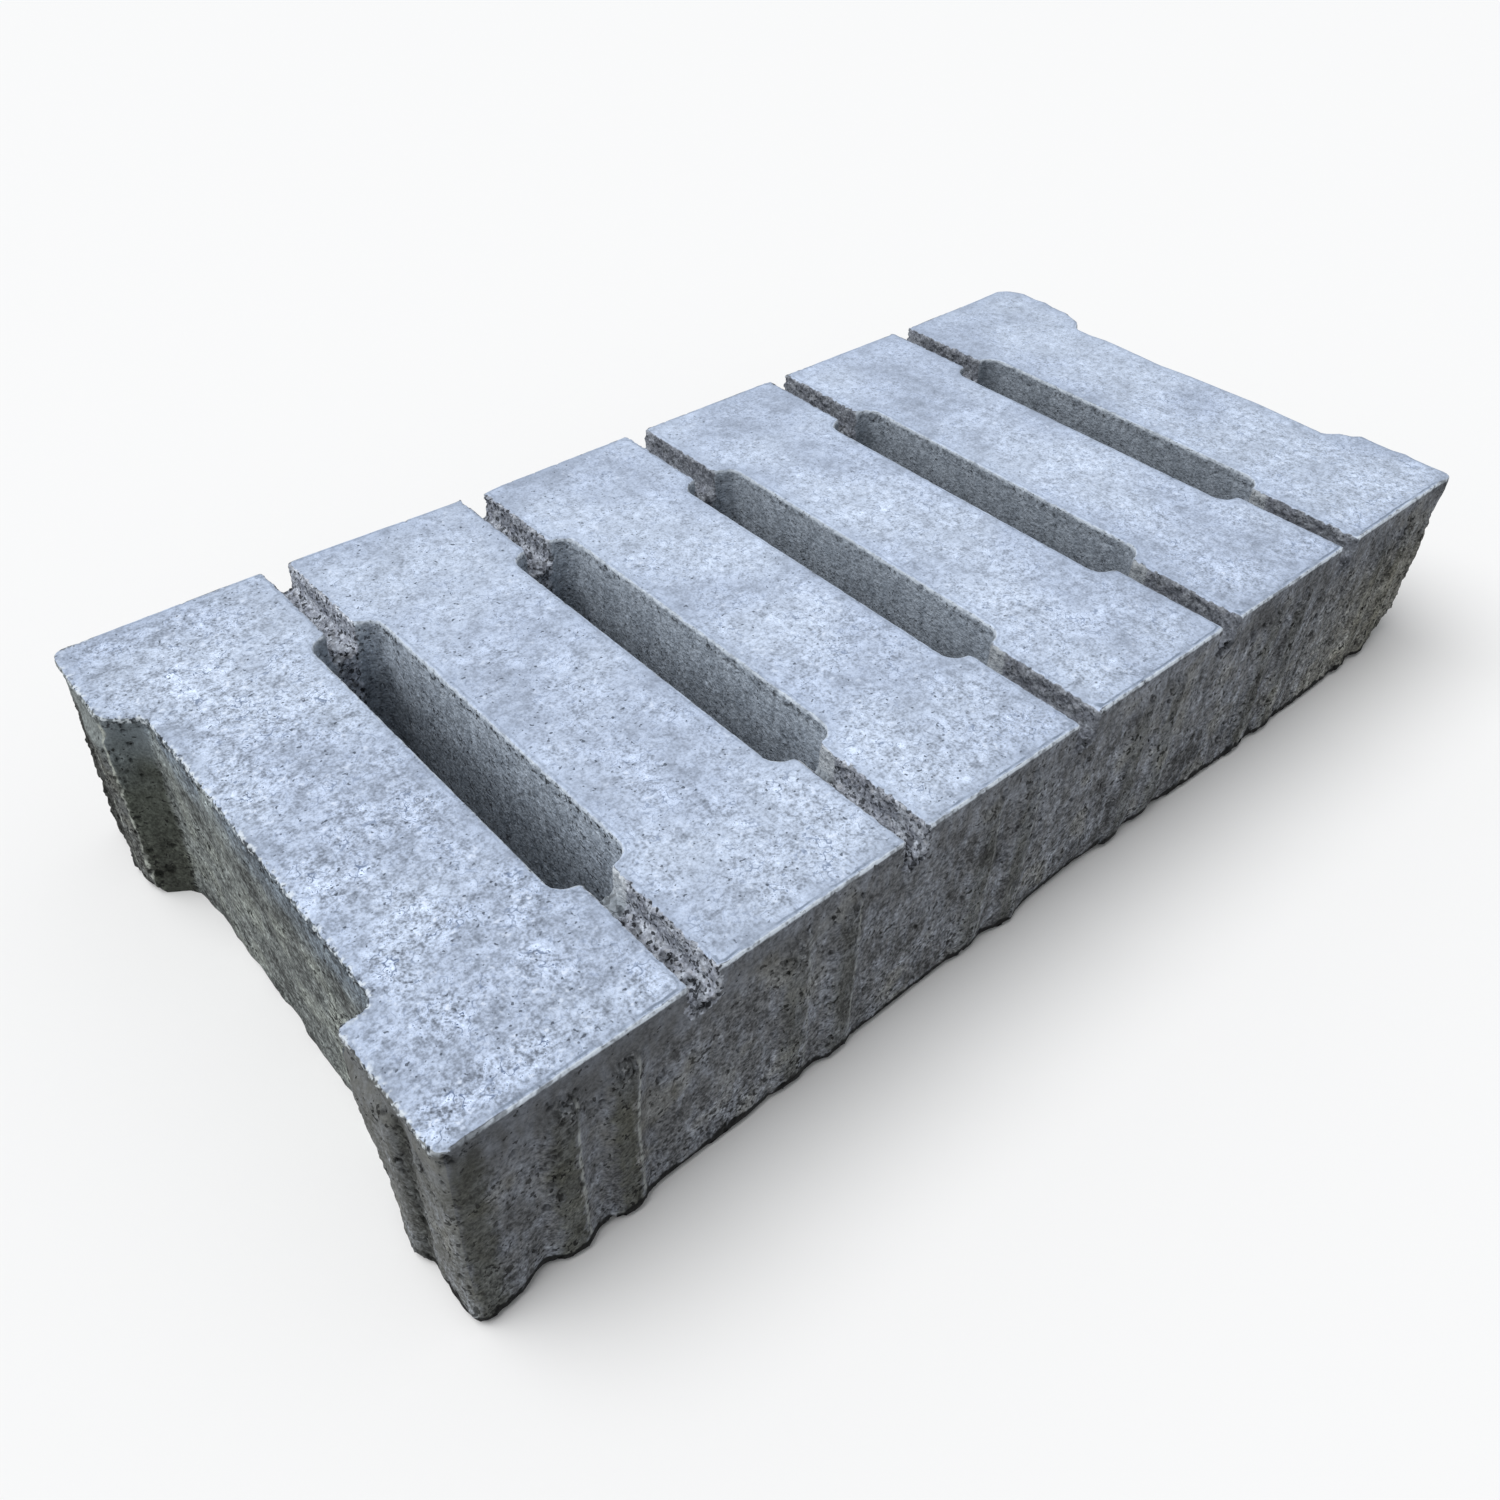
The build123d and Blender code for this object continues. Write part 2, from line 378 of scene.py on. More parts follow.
scatter(corner_c, 150, (1.0, 2.1), (0.4, 0.8))
clusters((front > 0.5) & (x > 120) & (z < 84) & (z > 4), 40, (5, 14), 8, (0.8, 2.0), (0.5, 0.95))
scatter(nib_flank > 0.4, 50, (0.8, 1.8), (0.5, 0.95))
scatter(crumbled > 0.4, 90, (0.9, 1.9), (0.5, 0.95))
clusters((recess > 0.5) & (z < 84), 50, (4, 10), 7, (0.8, 1.6), (0.5, 0.9))
scatter((recess > 0.5) & (z < 95), 200, (0.8, 1.7), (0.5, 0.8))
side_of_recess = (recess > 0.5) & (np.abs(np.abs(y) - 90) < 1.5) & (x < 0)
scatter(side_of_recess & (z < 32) & (z > 8), 12, (1.6, 3.0), (0.4, 0.7))
scatter(side_of_recess & (z < 78) & (z > 20), 26, (0.8, 1.6), (0.5, 0.9))
scatter((well > 0.5) & (z > 35) & (z < 96) & (x < -70), 190, (0.8, 1.7), (0.5, 0.8))
scatter((well > 0.5) & (z > 35) & (z < 92) & (x > -70), 60, (0.8, 1.5), (0.5, 0.8))
scatter(floor_of_groove > 0.5, 520, (1.0, 2.1), (0.5, 0.9), sink=False)
scatter(floor_of_groove > 0.5, 620, (0.9, 1.8), (0.6, 1.0))
scatter(strip > 0.5, 160, (1.0, 2.1), (0.5, 0.9), sink=False)
scatter(strip > 0.5, 130, (0.9, 1.8), (0.6, 1.0))
scatter(mouth > 0.5, 130, (1.0, 2.0), (0.6, 1.0))
scatter((top > 0.9) & (d_rim > 3), 240, (0.6, 1.2), (0.4, 0.8))
# nicks along the outlines
lip = (np.abs(d_rim) < 0.8) & (z > 98)
under_lip = (np.abs(d_rim) < 1.0) & (z > 93) & (z < 98) & (up < 0.2)
scatter(lip & (left_end > 0.5), 110, (0.6, 1.3), (0.5, 0.9))
scatter(under_lip & (left_end > 0.5), 130, (0.7, 1.5), (0.6, 1.0))
scatter(lip & (d_slot < 1.2), 170, (0.6, 1.3), (0.4, 0.8))
scatter(under_lip & (d_slot < 1.2) & (lx > 8), 150, (0.7, 1.4), (0.6, 1.0))
scatter(lip & (d_outer < 1.2), 60, (0.6, 1.3), (0.4, 0.8))
# crumbs missing along the foot
scatter((outer_wall > 0.5) & (z < 2.5), 170, (1.2, 3.0), (0.3, 0.6))

P[:, 2] = np.maximum(P[:, 2], 0.0)

# ---------------------------------------------------------------- marks for the finish, kept on the fine points
crumbly = np.zeros_like(x)
for line in RIB_LINES:
    for k in range(6):
        crumbly += hump(np.hypot((x - line - 100 * k + 4) / 5.0, (z - 82 + 3 * (k % 2)) / 6.0), 0, 1) * front * (1.0 if k == 0 else 0.8)
marks = {
    "rim": np.clip(d_rim, -3, 12),
    "pit": pit,
    "rough": np.clip(np.maximum(in_groove, np.maximum(strip, mouth)), 0, 1),
    "crumbly": np.clip(crumbly, 0, 1),
    "chute": in_groove * ramp(-102, -98, y) * (y < -80),
    "face": top,
    "well": well,
    "recess": recess,
    "flank_grime_and_shade": np.clip(nib_flank, 0, 1),
    "crumbled": crumbled,
    "bead": np.clip((W < 4) * 1.0 + 0.55 * (d_outer < 3) * (W > 4) + 0.5 * (d_outer > 3), 0, 1) * (1 - 0.75 * left_end),
    "fin": np.maximum(hump(W, 241.3, 1.5) * (1 - ramp(94, 98, z)), 0.85 * hump(W, 259.0, 1.2) * (1 - ramp(74, 82, z))) * (L < 2.0),
    "edge": hump(z, 96.5 - 2.0 * left_end * (d_outer < 3), 2.2) * (1 - up) * np.clip(left_end * (d_outer < 3) + recess + well * ramp(6, 12, lx), 0, 1),
}

fine.vertices.foreach_set("co", P.ravel())
fine.update()

# ---------------------------------------------------------------- thinning
keep = np.clip(
    1.0 * marks["rough"] + 0.75 * np.exp(-((d_rim / 3.0) ** 2)) * ramp(94, 98, z) + 0.22 * top + 0.42 * front + 0.28 * ends * (x < 0)
    + 0.12 * ends + 0.2 * back + 0.3 * recess * (x < 0) + 0.12 * recess + 0.2 * well * ramp(45, 90, z) + 0.5 * np.clip(pit, 0, 1) + 0.3 * foot + 0.5 * marks["fin"] + 0.3 * crumbled,
    0.0, 0.98,
) * ramp(-1.0, 1.0, z)
thin = bpy.data.objects.new("thin", fine)
bpy.context.scene.collection.objects.link(thin)
group = thin.vertex_groups.new(name="free")
free = 1 - keep
for level in range(20):
    idx = np.flatnonzero((free >= level / 20) & (free < (level + 1) / 20 + (level == 19)))
    if len(idx):
        group.add(idx.tolist(), max(0.02, (level + 0.5) / 20), "REPLACE")
m = thin.modifiers.new("thin", "DECIMATE")
m.ratio = BUDGET / (2 * len(fine.polygons))
m.use_collapse_triangulate = True
m.vertex_group = "free"
m.vertex_group_factor = 0.02
mesh = bpy.data.meshes.new_from_object(thin.evaluated_get(bpy.context.evaluated_depsgraph_get()))
bpy.data.objects.remove(thin)
mesh.name = "paver_concrete"
print("triangles", len(mesh.polygons), "vertices", len(mesh.vertices))

# marks over to the thinned mesh, from the nearest fine point
tree = kdtree.KDTree(len(P))
for i, c in enumerate(P.tolist()):
    tree.insert(c, i)
tree.balance()
Q = points(mesh)
find = tree.find
near = np.fromiter((find(c)[1] for c in Q.tolist()), np.int64, len(Q))
for a in list(mesh.attributes):
    if not a.is_internal and not a.is_required and a.domain == "POINT":
        mesh.attributes.remove(a)
for name, value in marks.items():
    att = mesh.attributes.new(name, "FLOAT", "POINT")
    att.data.foreach_set("value", value[near].astype(np.float32))

mesh.transform(Matrix.Scale(MM, 4))
mesh.shade_smooth()
body = bpy.data.objects.new("paver_concrete", mesh)
bpy.context.scene.collection.objects.link(body)
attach(body, "root")
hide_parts("paver")


# ---------------------------------------------------------------- concrete
def srgb(r, g, b):
    def one(c):
        c /= 255
        return c / 12.92 if c <= 0.04045 else ((c + 0.055) / 1.055) ** 2.4
    return (one(r), one(g), one(b), 1.0)


class Net:
    """Small helper that wires shader nodes."""

    def __init__(self, mat):
        mat.use_nodes = True
        self.t = mat.node_tree
        self.t.nodes.clear()

    def node(self, kind, **props):
        n = self.t.nodes.new(kind)
        for k, v in props.items():
            setattr(n, k, v)
        return n

    def put(self, sock, v):
        if isinstance(v, bpy.types.NodeSocket):
            self.t.links.new(v, sock)
        elif v is not None:
            sock.default_value = v

    def math(self, op, a, b=None, c=None, clamp=False):
        n = self.node("ShaderNodeMath", operation=op, use_clamp=clamp)
        for i, v in enumerate((a, b, c)):
            if v is not None:
                self.put(n.inputs[i], v)
        return n.outputs[0]

    def add(self, *v):
        out = v[0]
        for w in v[1:]:
            out = self.math("ADD", out, w)
        return out

    def sub(self, a, b): return self.math("SUBTRACT", a, b)

    def mul(self, *v):
        out = v[0]
        for w in v[1:]:
            out = self.math("MULTIPLY", out, w)
        return out

    def big(self, a, b): return self.math("MAXIMUM", a, b)
    def size(self, a): return self.math("ABSOLUTE", a)
    def inv(self, a): return self.math("SUBTRACT", 1.0, a)
    def grade(self, a, up, down):
        """A brightness factor around 1: where `a` is above nought it rises by the rate `up`, below it falls by `down`."""
        return self.math("EXPONENT", self.math("MINIMUM", self.mul(a, up), self.mul(a, down)))

    def ramp(self, v, a, b, lo=0.0, hi=1.0):
        n = self.node("ShaderNodeMapRange", interpolation_type="SMOOTHSTEP")
        self.put(n.inputs["Value"], v)
        for k, w in zip(("From Min", "From Max", "To Min", "To Max"), (a, b, lo, hi)):
            self.put(n.inputs[k], w)
        return n.outputs[0]

    def mix(self, f, a, b):
        n = self.node("ShaderNodeMix", data_type="RGBA")
        self.put(n.inputs[0], f)
        self.put(n.inputs[6], a)
        self.put(n.inputs[7], b)
        return n.outputs[2]

    def shade(self, colour, factor):
        n = self.node("ShaderNodeVectorMath", operation="SCALE")
        self.put(n.inputs[0], colour[:3] if isinstance(colour, tuple) else colour)
        self.put(n.inputs["Scale"], factor)
        return n.outputs[0]

    def attr(self, name):
        return self.node("ShaderNodeAttribute", attribute_type="GEOMETRY", attribute_name=name).outputs["Fac"]

    def place(self, scale=(1, 1, 1), shift=(0, 0, 0)):
        n = self.node("ShaderNodeMapping")
        self.put(n.inputs["Vector"], self.coord)
        n.inputs["Scale"].default_value = [s * 1000 for s in scale]
        n.inputs["Location"].default_value = shift
        return n.outputs[0]

    def noise(self, size, detail=2.0, rough=0.5, stretch=(1, 1, 1), shift=0.0):
        """Noise with features about `size` mm wide, centred on nought, mostly within -1 to 1."""
        n = self.node("ShaderNodeTexNoise", noise_dimensions="3D")
        self.put(n.inputs["Vector"], self.place([1 / (size * s) for s in stretch], (shift, shift * 0.7, shift * 1.3)))
        n.inputs["Scale"].default_value = 1.0
        n.inputs["Detail"].default_value = detail
        n.inputs["Roughness"].default_value = rough
        return self.math("MULTIPLY_ADD", n.outputs["Fac"], 4.0, -2.0)

    def cell(self, size, shift=0.0, stretch=(1, 1, 1), rand=1.0):
        n = self.node("ShaderNodeTexVoronoi", voronoi_dimensions="3D", feature="F1")
        self.put(n.inputs["Vector"], self.place([1 / (size * s) for s in stretch], (shift, shift * 0.6, shift * 1.1)))
        n.inputs["Scale"].default_value = 1.0
        n.inputs["Randomness"].default_value = rand
        sep = self.node("ShaderNodeSeparateColor")
        self.put(sep.inputs[0], n.outputs["Color"])
        return n.outputs["Distance"], sep.outputs[0]


mat = bpy.data.materials.new("concrete")
k = Net(mat)
k.coord = k.node("ShaderNodeTexCoord").outputs["Object"]
sep = k.node("ShaderNodeSeparateXYZ")
k.put(sep.inputs[0], k.coord)
X = k.mul(sep.outputs[0], 1000.0)
Y = k.mul(sep.outputs[1], 1000.0)
Z = k.mul(sep.outputs[2], 1000.0)
face, rough, rim, pitm = k.attr("face"), k.attr("rough"), k.attr("rim"), k.attr("pit")
wellm, recessm, chutem = k.attr("well"), k.attr("recess"), k.attr("chute")
flank_grime_and_shade, edge, bead, fin, crumbly, crumbled = (k.attr(n) for n in ("flank_grime_and_shade", "edge", "bead", "fin", "crumbly", "crumbled"))

n1 = k.noise(1.15, 1, 0.6)
n2 = k.noise(2.3, 1, 0.6, shift=3.0)
n4 = k.noise(4.6, 1, 0.55, shift=23.0)
n8 = k.noise(8.5, 1, 0.55, shift=7.0)
n20 = k.noise(20.0, 1, 0.5, shift=11.0)
n60 = k.noise(62.0, 1, 0.5, shift=19.0)
spot = k.noise(2.0, 1, 0.5, shift=41.0)
up = k.noise(4.6, 1, 0.6, stretch=(1, 1, 2.6), shift=5.0)
flutes = k.noise(5.5, 1, 0.6, stretch=(1, 1, 6.0), shift=53.0)
knots = k.ramp(k.add(n8, k.mul(n20, 0.7)), -0.1, 0.9)

# walked-on face: pale blue-grey skin, the blue partly painted skylight, closely peppered with dark and light grains,
# most of all by the front left corner
inner = k.ramp(rim, 1.0, 9.0, 0.62, 1.0)
worn = k.add(k.mul(X, -0.0003), k.mul(Y, -0.0014), k.ramp(X, -190.0, -240.0, 0.94, 1.40))
patch = k.ramp(k.add(k.mul(n20, 0.8), k.mul(n60, 0.6)), -0.7, 0.6, 0.62, 1.28)
keen = k.mul(inner, worn, patch)
fine_sum = k.add(k.mul(n1, 0.31), k.mul(n2, 0.29), k.mul(n4, 0.17))
c_top = k.mix(k.ramp(n60, -0.4, 0.6, 0.0, 0.4), srgb(180, 193, 215), srgb(186, 197, 212))
margin = k.ramp(k.add(rim, k.mul(n8, 3.0)), 14.0, 2.0, 0.0, 0.30)
c_top = k.mix(margin, c_top, srgb(166, 180, 203))
c_top = k.shade(c_top, k.mul(k.ramp(X, 140.0, 250.0, 0.985, 0.93), k.ramp(Y, -149.0, -95.0, 0.955, 1.0), k.ramp(k.add(Y, k.mul(X, -0.25)), 90.0, 165.0, 1.0, 0.955)))
c_top = k.shade(c_top, k.grade(k.add(k.mul(keen, fine_sum), k.mul(n8, worn, 0.15), k.mul(n20, 0.15), k.mul(n60, 0.17)), 0.70, 1.15))
worm = k.mul(k.ramp(k.size(n4), 0.15, 0.02), k.ramp(n8, -0.35, 0.5))
dark = k.mul(k.big(k.ramp(k.add(n1, k.mul(n2, 0.5)), 0.5, 1.05), k.mul(worm, 0.75)), k.ramp(k.add(n8, k.mul(n20, 0.6)), -0.5, 0.7, 0.4, 1.0), keen)
c_top = k.mix(k.mul(dark, 0.60), c_top, srgb(92, 108, 137))
flake = k.mul(k.ramp(n2, 0.45, 1.0), k.ramp(n8, 0.5, -0.5, 0.3, 1.0), keen)
c_top = k.mix(k.mul(flake, 0.40), c_top, srgb(222, 231, 245))
specks = k.mul(k.ramp(spot, 0.78, 1.0), inner, k.ramp(X, -100.0, 150.0, 1.0, 0.40))
c_top = k.mix(k.mul(specks, 0.85), c_top, srgb(70, 78, 90))

# upright faces: darker than the top, partly their own drab skin and partly painted shade; sandy grain, pinholes in
# knots
foot_light = k.add(1.0, k.mul(k.ramp(Z, 42.0, 20.0), k.add(k.ramp(X, -100.0, -180.0, 0.0, 0.14), k.ramp(X, 200.0, 260.0, 0.0, -0.08))))
rough_right = k.mul(k.ramp(X, 60.0, 260.0, 1.0, 1.12), k.ramp(Z, 48.0, 22.0, 1.0, 1.25))
c_side = k.mix(k.ramp(k.add(up, k.mul(n20, 0.7)), -0.7, 0.7), srgb(97, 99, 102), srgb(112, 116, 123))
c_side = k.mix(k.ramp(k.add(n20, k.mul(n60, 0.6)), 0.1, 0.9, 0.0, 0.45), c_side, srgb(97, 95, 84))
calm = k.ramp(Z, 70.0, 88.0)
smooth_left = k.mul(k.ramp(X, -240.0, -170.0, 0.82, 0.96), k.ramp(X, -297.5, -295.0, 1.5, 1.0))
s_side = k.mul(k.add(k.mul(n1, 0.70), k.mul(n2, 0.50), k.mul(n4, 0.28), k.mul(n8, k.ramp(X, -180.0, -60.0, 0.18, 0.34)), k.mul(up, 0.14), k.mul(flutes, k.ramp(X, -160.0, 120.0, 0.06, 0.40)), k.mul(n20, k.ramp(X, -180.0, -60.0, 0.22, 0.36)), k.mul(n60, 0.14)), rough_right, smooth_left, k.sub(1.0, k.mul(calm, k.ramp(X, -220.0, -120.0, 0.55, 0.25))))
grit = k.grade(s_side, 0.68, 1.12)
holes = k.ramp(k.add(spot, k.mul(knots, 0.50), k.mul(calm, -0.12), k.ramp(Z, 45.0, 15.0, 0.0, 0.07)), 0.74, 0.98)

# ribs: drab colour over each rib's left flank and crest, painted shade with some stain, and a painted highlight line
# down the right edge of the crest; the back side is the front's turned half a turn
side_sign = k.math("SUBTRACT", k.mul(k.math("LESS_THAN", Y, 0.0), 2.0), 1.0)
Xr = k.mul(X, side_sign)
wig = k.add(k.mul(n60, 1.6), k.mul(n8, 0.5))
fray = k.add(k.mul(n8, 1.6), k.mul(n2, 1.0))
t = k.sub(k.math("FLOORED_MODULO", k.add(Xr, wig, 299.0 + 3.0), 100.0), 50.0)
on_long_side = k.math("GREATER_THAN", k.size(Y), 144.0)
below = k.mul(k.ramp(Z, 88.0, 80.0), on_long_side)
first = k.ramp(Xr, -215.0, -208.0, 1.0, 0.6)
line = k.big(k.ramp(k.size(t), 1.15, 0.35), k.ramp(k.size(k.sub(t, 24.0)), 1.15, 0.35))
tf = k.add(t, fray, k.mul(n20, 1.5))
rib_shade_and_stain = k.big(k.mul(k.ramp(tf, -14.0, -8.5), k.ramp(tf, 0.2, -2.5)), k.mul(k.ramp(tf, 11.0, 15.5), k.ramp(tf, 24.2, 21.5)))
corner = k.mul(k.ramp(k.add(Xr, k.mul(fray, 0.6)), -297.5, -294.0), k.ramp(k.add(Xr, fray), -282.0, -288.5), on_long_side, k.ramp(Z, 100.0, 82.0, 0.4, 1.0))
rib_shade_and_stain = k.mul(rib_shade_and_stain, below, first, k.ramp(k.add(Z, k.mul(n20, 16.0)), 92.0, 60.0, 0.45, 1.0))
line = k.mul(line, below, first, k.ramp(k.add(n8, n2), -0.9, 0.7, 0.1, 1.0))
# painted shade with some stain on the ribs, and the same drab colour along the left end of each long side
c_side = k.mix(k.mul(k.big(rib_shade_and_stain, corner), 0.70), c_side, srgb(66, 67, 57))
c_side = k.mix(k.mul(k.ramp(Xr, 150.0, 280.0), k.ramp(Z, 88.0, 50.0), on_long_side, 0.6), c_side, srgb(116, 114, 102))
c_side = k.mix(k.ramp(Z, 90.0, 98.0, 0.0, 0.30), c_side, srgb(104, 110, 120))
# painted shade, with some grime, down the near nib's flank
c_side = k.mix(k.mul(flank_grime_and_shade, 0.8), c_side, srgb(60, 62, 56))
c_side = k.shade(c_side, k.mul(grit, foot_light, k.ramp(Xr, -235.0, -190.0, 0.92, 1.07), k.sub(1.0, k.mul(calm, k.add(k.ramp(Xr, -60.0, -170.0, 0.0, 0.13), k.ramp(Xr, 110.0, 230.0, 0.0, 0.14))))))
left_face = k.math("LESS_THAN", X, -296.0)
far_shoulder = k.mul(left_face, k.math("GREATER_THAN", Y, 95.0))
near_shoulder = k.mul(left_face, k.math("LESS_THAN", Y, -80.0))
# the near shoulder painted slightly lighter, as lit, and darker down the nib's flank; the far shoulder painted darker,
# in shade
c_side = k.shade(c_side, k.add(k.mul(near_shoulder, k.sub(0.03, k.mul(flank_grime_and_shade, 0.25))), k.mul(far_shoulder, -0.30), 1.0))
c_side = k.mix(k.mul(near_shoulder, k.inv(flank_grime_and_shade), 0.35), c_side, srgb(119, 120, 112))
# painted shade over the far shoulder, with a lighter band left at its top
c_side = k.mix(k.mul(far_shoulder, 0.5), c_side, k.shade(srgb(82, 84, 76), grit))
c_side = k.mix(k.mul(far_shoulder, k.ramp(Z, 74.0, 84.0), 0.8), c_side, k.shade(srgb(128, 135, 135), grit))
c_side = k.mix(k.mul(crumbled, k.ramp(k.add(n8, k.mul(n4, 0.7), k.mul(n20, 0.6)), -0.9, 0.5, 0.35, 0.95)), c_side, k.shade(srgb(42, 44, 41), grit))
speck = k.mul(crumbly, k.ramp(k.add(spot, k.mul(n2, 0.7)), -0.1, 0.25))
c_side = k.mix(k.mul(crumbly, k.ramp(k.add(n2, k.mul(n1, 0.5)), 0.15, 0.7), 0.8), c_side, srgb(146, 149, 152))
# painted shade: near-black holes among the crumbs on the rib tops
c_side = k.mix(k.mul(speck, 0.9), c_side, srgb(22, 23, 22))
# painted highlight down the right edge of each rib's crest
c_side = k.mix(k.mul(line, 0.68), c_side, srgb(162, 166, 164))
# painted shade: the pinholes near-black
c_side = k.mix(k.mul(holes, k.ramp(rib_shade_and_stain, 0.0, 0.6, 0.75, 0.95)), c_side, srgb(26, 27, 26))

# slot walls and half slots
# slot walls: pale blue-grey, partly their own fresh skin and partly painted skylight falling in from the left
c_well = k.mix(k.ramp(up, -0.6, 0.6), srgb(160, 170, 182), srgb(174, 184, 196))
c_well = k.shade(c_well, k.grade(k.mul(k.add(k.mul(n1, 0.44), k.mul(n2, 0.38), k.mul(n4, 0.18), k.mul(up, 0.08), k.mul(n20, 0.10)), k.ramp(X, -220.0, 20.0, 0.98, 0.72), k.ramp(Z, 70.0, 95.0, 1.0, 0.72)), 0.75, 1.2))
# painted shade deeper down the slot walls, and painted light that fades from the left slots to the right ones
c_well = k.shade(c_well, k.mul(k.ramp(Z, 58.0, 98.0, 0.60, 1.06), k.ramp(X, -200.0, 200.0, 1.12, 0.78)))
# painted shade: the pinholes in the slot walls darkened
c_well = k.mix(k.mul(holes, k.ramp(X, -200.0, -30.0, 0.65, 0.22)), c_well, srgb(50, 54, 62))
c_rec = k.mix(k.ramp(up, -0.6, 0.6), srgb(97, 102, 101), srgb(111, 116, 115))
c_rec = k.mix(k.ramp(k.add(Z, k.mul(n20, 5.0)), 72.0, 92.0, 0.0, 0.8), c_rec, srgb(111, 122, 133))
c_rec = k.mix(k.ramp(k.add(n20, k.mul(n60, 0.6)), 0.0, 0.8, 0.0, 0.6), c_rec, srgb(101, 105, 100))
fibre = k.noise(2.0, 1, 0.6, stretch=(1, 2.4, 2.0), shift=31.0)
c_rec = k.shade(c_rec, k.grade(k.mul(k.add(k.mul(fibre, 0.38), k.mul(n1, 0.66), k.mul(n2, 0.50), k.mul(n4, 0.30), k.mul(n8, 0.40), k.mul(n20, 0.52), k.mul(n60, 0.42)), k.ramp(Z, 72.0, 92.0, 1.0, 0.8)), 0.85, 1.5))
c_rec = k.shade(c_rec, k.sub(1.0, k.mul(k.ramp(Z, 82.0, 66.0), k.ramp(Z, 28.0, 44.0), 0.07)))
far_wall = k.mul(k.ramp(k.add(Y, k.mul(n2, 0.5)), 85.5, 89.5), k.math("LESS_THAN", X, 0.0), 0.92)
c_far = k.mix(k.ramp(k.add(Z, k.mul(n20, 8.0)), 92.0, 56.0), srgb(100, 108, 112), srgb(68, 72, 65))
c_far = k.mix(k.ramp(k.add(Z, k.mul(n20, 8.0)), 50.0, 14.0, 0.0, 0.7), c_far, srgb(52, 54, 47))
c_rec = k.mix(far_wall, c_rec, k.shade(c_far, k.grade(k.mul(s_side, 0.62), 0.8, 1.1)))
# painted shade: the pinholes in the half slots near-black
c_rec = k.mix(k.mul(holes, 0.9), c_rec, srgb(28, 30, 28))

# grooves: open grain with pale grit, less of it towards the right
grit_cell, grit_own = k.cell(2.3, 8.0)
coarse = k.ramp(X, -150.0, 60.0, 1.0, 0.35)
c_rough = k.mix(k.ramp(n4, -0.6, 0.6), srgb(144, 149, 160), srgb(170, 176, 186))
c_rough = k.shade(c_rough, k.mul(k.grade(k.add(k.mul(n1, 0.42), k.mul(n2, 0.42)), 0.9, 1.1), k.ramp(X, -190.0, 60.0, 1.16, 0.61), k.ramp(Y, -100.0, 60.0, 0.98, 1.08)))
blob = k.ramp(k.add(grit_cell, k.mul(n1, 0.22), k.mul(n2, 0.12)), 0.62, 0.38)
c_rough = k.mix(k.mul(blob, k.math("GREATER_THAN", grit_own, 0.86), 0.5, coarse), c_rough, srgb(190, 193, 200))
c_rough = k.shade(c_rough, k.ramp(k.size(Y), 146.5, 148.5, 1.0, 0.72))
pores = k.big(k.ramp(k.add(spot, k.mul(n2, 0.4)), 0.35, 0.62), k.mul(blob, k.math("LESS_THAN", grit_own, 0.12)))
# painted shade: the pores in the grooves near-black
c_rough = k.mix(k.mul(pores, 0.86, coarse), c_rough, srgb(30, 33, 38))

col = k.mix(k.ramp(wellm, 0.3, 0.7), c_side, c_well)
col = k.mix(k.mul(k.ramp(recessm, 0.3, 0.7), k.ramp(X, -50.0, 50.0, 1.0, 0.3)), col, c_rec)
ragged = k.add(rough, k.mul(n2, 0.22))
col = k.mix(k.ramp(ragged, 0.35, 0.55), col, c_rough)
# painted light: the chute's upper wall painted far paler than its floor, for the light it catches, less so towards the
# right
c_chute = k.mix(k.ramp(Z, 87.0, 89.5), srgb(150, 158, 166), k.shade(srgb(204, 211, 218), k.ramp(X, -200.0, 60.0, 1.0, 0.62)))
col = k.mix(k.ramp(k.add(chutem, k.mul(n8, 0.15)), 0.4, 0.7), col, k.shade(c_chute, k.grade(k.add(k.mul(n1, 0.15), k.mul(n2, 0.12)), 1.0, 1.0)))
# painted shade: dark spots under the lips
under = k.mul(k.ramp(k.add(spot, k.mul(n1, 0.5)), 0.2, 0.5), k.ramp(edge, 0.3, 0.65), k.ramp(X, -200.0, 60.0, 1.0, 0.5))
col = k.mix(k.mul(under, 0.8), col, srgb(34, 37, 40))
col = k.mix(k.mul(k.ramp(fin, 0.3, 0.8), k.ramp(k.add(n4, n2), -0.9, 0.4, 0.25, 0.85)), col, srgb(176, 181, 173))
col = k.mix(k.ramp(face, 0.35, 0.65), col, c_top)
# the burr on the outline: a painted highlight along it and a painted shadow in the thin line beside it
at_rim = k.add(rim, k.mul(n4, 0.12))
burr_highlight = k.mul(k.ramp(k.size(k.sub(at_rim, 0.25)), 0.62, 0.25), k.ramp(Z, 97.8, 98.8), bead)
keep_line = k.ramp(k.add(n8, n2), -1.0, 0.3, 0.3, 1.0)
col = k.mix(k.mul(burr_highlight, keep_line, k.inv(k.ramp(ragged, 0.3, 0.6))), col, srgb(208, 218, 229))
# painted shadow in the thin line beside the burr
burr_shadow_line = k.mul(k.ramp(k.size(k.sub(at_rim, 1.7)), 0.7, 0.2), k.ramp(face, 0.4, 0.7), k.ramp(bead, 0.2, 0.9))
col = k.mix(k.mul(burr_shadow_line, k.ramp(k.add(n8, n20), -0.8, 0.6, 0.2, 0.85)), col, srgb(112, 124, 142))
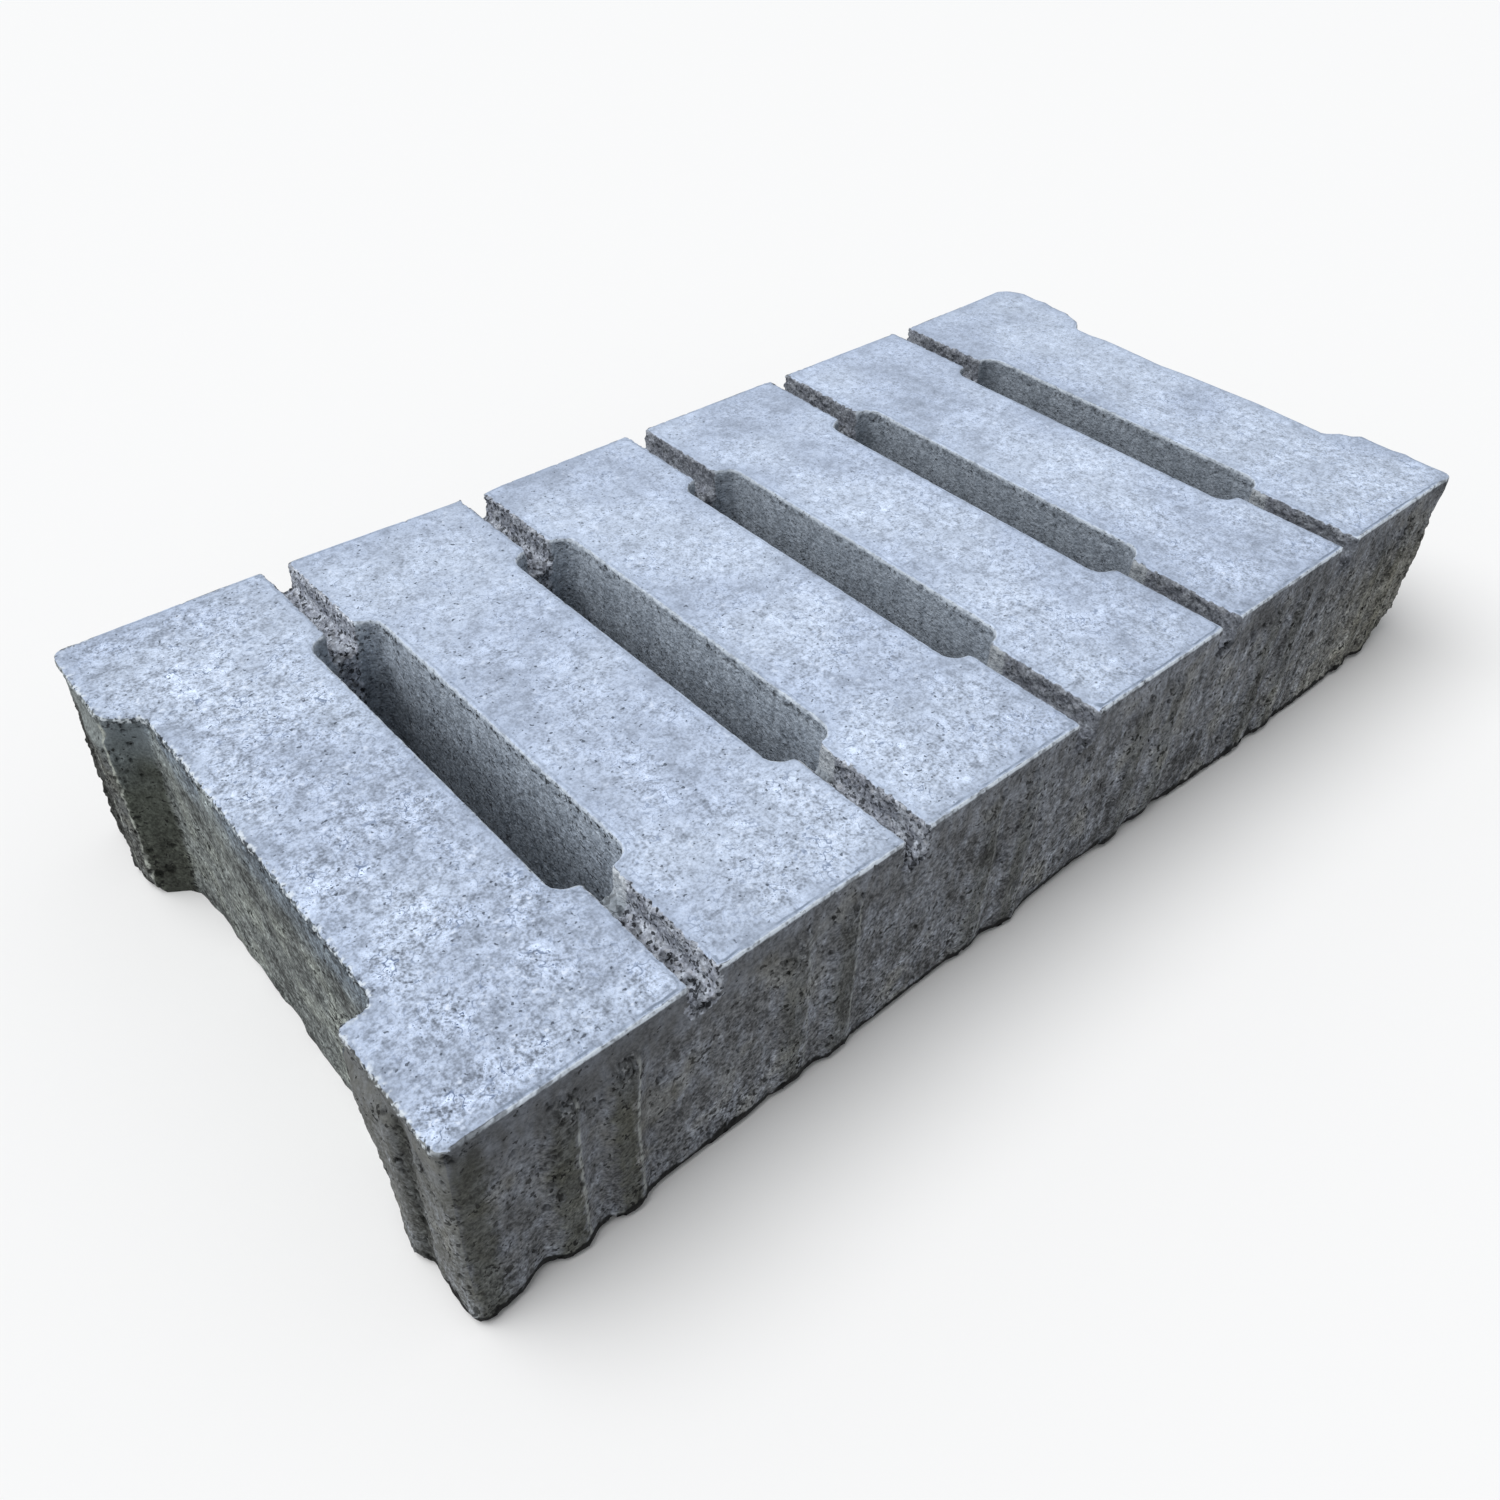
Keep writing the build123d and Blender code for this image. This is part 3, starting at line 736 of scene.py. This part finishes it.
# crumbs along the worn left edge; the dark spots among them are painted shade
crumbs = k.mul(k.ramp(rim, 3.0, 0.4), k.ramp(X, -279.0, -284.0), k.ramp(Z, 96.6, 97.6), k.ramp(Y, -147.5, -144.0))
col = k.mix(k.mul(crumbs, k.ramp(n2, -0.1, 0.5), 0.75), col, srgb(212, 220, 227))
col = k.mix(k.mul(crumbs, k.ramp(k.add(spot, k.mul(n1, 0.4)), 0.4, 0.7), 0.85), col, srgb(48, 54, 60))
# painted shade in the pits: their colour dimmed to a third
col = k.mix(k.ramp(pitm, 0.25, 1.0, 0.0, 0.8), col, k.shade(col, 0.32))
# painted contact shadow: a near-black line along the very foot
foot_shadow = k.mul(k.ramp(k.add(Z, k.mul(n8, 1.5), k.mul(n4, 0.9), k.mul(n2, 0.6)), 7.2, 5.6), k.inv(face), k.inv(k.mul(recessm, 0.85)), k.ramp(k.mul(k.size(Y), -1.0), -120.0, -140.0, 0.45, 1.0))
col = k.mix(k.mul(foot_shadow, 0.95), col, srgb(14, 15, 15))

# small relief
relief = k.add(k.mul(n1, 0.10), k.mul(n2, 0.12), k.mul(holes, -0.65, k.inv(face)), k.mul(face, k.add(k.mul(n1, -0.14), k.mul(n2, -0.05))))
bump = k.node("ShaderNodeBump")
bump.inputs["Strength"].default_value = 1.0
bump.inputs["Distance"].default_value = 0.001
k.put(bump.inputs["Height"], relief)

bsdf = k.node("ShaderNodeBsdfPrincipled")
k.put(bsdf.inputs["Base Color"], col)
k.put(bsdf.inputs["Roughness"], k.ramp(n8, -0.8, 0.8, 0.82, 0.97))
bsdf.inputs["Specular IOR Level"].default_value = 0.22
k.put(bsdf.inputs["Normal"], bump.outputs[0])
out = k.node("ShaderNodeOutputMaterial")
k.put(out.inputs["Surface"], bsdf.outputs[0])
mesh.materials.clear()
mesh.materials.append(mat)

# ---------------------------------------------------------------- floor, light, camera
stage_mat = bpy.data.materials.new("pale_floor")
stage_mat.use_nodes = True
b = stage_mat.node_tree.nodes["Principled BSDF"]
b.inputs["Base Color"].default_value = (0.84, 0.84, 0.84, 1)
b.inputs["Roughness"].default_value = 0.95
b.inputs["Specular IOR Level"].default_value = 0.1
fm = bpy.data.meshes.new("floor")
s = 6.0
fm.from_pydata([(-s, -s, 0), (s, -s, 0), (s, s, 0), (-s, s, 0)], [], [(0, 1, 2, 3)])
fm.materials.append(stage_mat)
floor = bpy.data.objects.new("floor", fm)
bpy.context.scene.collection.objects.link(floor)

world = bpy.data.worlds.new("studio")
world.use_nodes = True
world.node_tree.nodes["Background"].inputs["Color"].default_value = (0.97, 0.985, 1.0, 1)
world.node_tree.nodes["Background"].inputs["Strength"].default_value = 0.42
bpy.context.scene.world = world

sun = bpy.data.lights.new("soft_key", "SUN")
sun.energy, sun.angle = 2.55, 0.9
key = bpy.data.objects.new("soft_key", sun)
key.rotation_euler = Vector((-0.85, 0.45, 2.0)).to_track_quat("Z", "Y").to_euler()
bpy.context.scene.collection.objects.link(key)

cam_data = bpy.data.cameras.new("camera")
cam_data.sensor_fit = "HORIZONTAL"
cam_data.sensor_width = 36.0
cam_data.lens = 32.473
cam_data.shift_x = -0.00374
cam_data.shift_y = -0.04228
cam_data.clip_start, cam_data.clip_end = 0.01, 50
cam = bpy.data.objects.new("camera", cam_data)
cam.matrix_world = Matrix((
    (0.7489161, 0.40443516, -0.52493511, -0.37747147),
    (-0.66206514, 0.49035534, -0.56676396, -0.35957827),
    (0.02818547, 0.7719999, 0.63499743, 0.44744739),
    (0, 0, 0, 1),
))
bpy.context.scene.collection.objects.link(cam)
bpy.context.scene.camera = cam

view = bpy.context.scene.view_settings
view.view_transform = "Standard"
view.look = "None"
view.exposure = 0.0
view.gamma = 1.0
